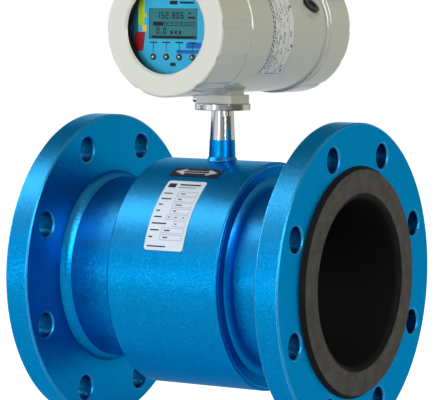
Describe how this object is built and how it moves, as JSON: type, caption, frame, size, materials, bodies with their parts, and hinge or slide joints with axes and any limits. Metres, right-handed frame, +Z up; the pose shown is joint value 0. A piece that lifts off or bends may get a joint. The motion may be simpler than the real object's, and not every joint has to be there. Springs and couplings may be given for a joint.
{
  "type": "electromagnetic flow meter",
  "caption": "Flanged electromagnetic flow meter: lined steel measuring tube with a coil housing, and a round signal converter with a display on a stem.",
  "frame": {"origin": "middle of the bore, halfway between the flanges", "axes": "+X along the pipe towards the outlet flange, +Z up the stem, the display faces -Y"},
  "size_m": [0.2914, 0.285, 0.4271],
  "materials": {
    "painted_steel": "textured metallic blue paint",
    "lining_rubber": "matt hard rubber",
    "stainless": "turned",
    "copper_wire": "enamelled wire",
    "soft_iron": "plain",
    "grey_enamel": "smooth light grey paint on cast aluminium",
    "black_rubber": "matt",
    "black_plastic": "satin",
    "dark_plastic": "satin",
    "window_glass": "clear",
    "printed_sheet": "printed",
    "lcd_glass": "display glass",
    "key_plastic": "satin",
    "circuit_board": "solder mask",
    "brass": "plain",
    "board_plastic": "moulded",
    "terminal_plastic": "moulded",
    "label_film": "printed film",
    "label_silver": "printed silver film"
  },
  "bodies": {
    "meter": {"measuring_tube": "painted_steel", "lining": "lining_rubber", "inlet_flange": "painted_steel", "outlet_flange": "painted_steel", "inlet_flange_weld": "painted_steel", "outlet_flange_weld": "painted_steel", "coil_housing": "painted_steel", "inlet_end_plate": "painted_steel", "outlet_end_plate": "painted_steel", "inlet_housing_weld": "painted_steel", "outlet_housing_weld": "painted_steel", "upper_coil": "copper_wire", "lower_coil": "copper_wire", "upper_pole_core": "soft_iron", "lower_pole_core": "soft_iron", "flux_yoke": "soft_iron", "electrodes": "stainless", "electrode_bushes": "board_plastic", "electrode_nuts": "stainless", "stem": "stainless", "stem_weld": "painted_steel", "stem_seal": "black_rubber", "foot_screws": "stainless", "converter_housing": "grey_enamel", "cable_entry_plugs": "black_plastic", "cable_entry_seals": "black_rubber", "earth_screw": "stainless", "earth_washer": "stainless", "display_fascia": "printed_sheet", "display_carrier": "dark_plastic", "lcd_module": "lcd_glass", "key_switches": "dark_plastic", "display_board": "circuit_board", "display_pillars": "brass", "main_board": "circuit_board", "main_board_pillars": "brass", "power_board": "circuit_board", "power_board_pillars": "brass", "transformer": "dark_plastic", "terminal_board_pillars": "brass", "terminal_board": "circuit_board", "terminal_block": "terminal_plastic", "nameplate": "label_film", "flow_arrow_plate": "label_film", "rating_label": "label_silver"},
    "front_cover_thread": {"front_cover_seal": "black_rubber"},
    "front_cover": {"front_cover": "grey_enamel", "window_gasket": "black_rubber", "window_glass": "window_glass", "glass_retaining_ring": "black_plastic"},
    "rear_cover_thread": {"rear_cover_seal": "black_rubber"},
    "rear_cover": {"rear_cover": "grey_enamel"},
    "key_1": {"key_1": "key_plastic"},
    "key_2": {"key_2": "key_plastic"},
    "key_3": {"key_3": "key_plastic"},
    "key_4": {"key_4": "key_plastic"}
  },
  "joints": [
    {"name": "front_cover_travel", "type": "slide", "parent": "meter", "child": "front_cover_thread", "axis": [0, -1, 0], "range_m": [0, 0.014]},
    {"name": "front_cover_turn", "type": "hinge", "parent": "front_cover_thread", "child": "front_cover", "pos_m": [0, -0.0757, 0.2241], "axis": [0, -1, 0], "range_deg": [0, 2520]},
    {"name": "rear_cover_travel", "type": "slide", "parent": "meter", "child": "rear_cover_thread", "axis": [0, 1, 0], "range_m": [0, 0.014]},
    {"name": "rear_cover_turn", "type": "hinge", "parent": "rear_cover_thread", "child": "rear_cover", "pos_m": [0, 0.114, 0.2241], "axis": [0, 1, 0], "range_deg": [0, 2520]},
    {"name": "key_1_press", "type": "slide", "parent": "meter", "child": "key_1", "axis": [0, 1, 0], "range_m": [0, 0.0008], "stiffness_N_per_m": 400, "springref_m": -0.0005},
    {"name": "key_2_press", "type": "slide", "parent": "meter", "child": "key_2", "axis": [0, 1, 0], "range_m": [0, 0.0008], "stiffness_N_per_m": 400, "springref_m": -0.0005},
    {"name": "key_3_press", "type": "slide", "parent": "meter", "child": "key_3", "axis": [0, 1, 0], "range_m": [0, 0.0008], "stiffness_N_per_m": 400, "springref_m": -0.0005},
    {"name": "key_4_press", "type": "slide", "parent": "meter", "child": "key_4", "axis": [0, 1, 0], "range_m": [0, 0.0008], "stiffness_N_per_m": 400, "springref_m": -0.0005}
  ],
  "couplings": [
    {"joint": "front_cover_travel", "follows": "front_cover_turn", "m_per_rad": 0.00031831},
    {"joint": "rear_cover_travel", "follows": "rear_cover_turn", "m_per_rad": 0.00031831}
  ]
}
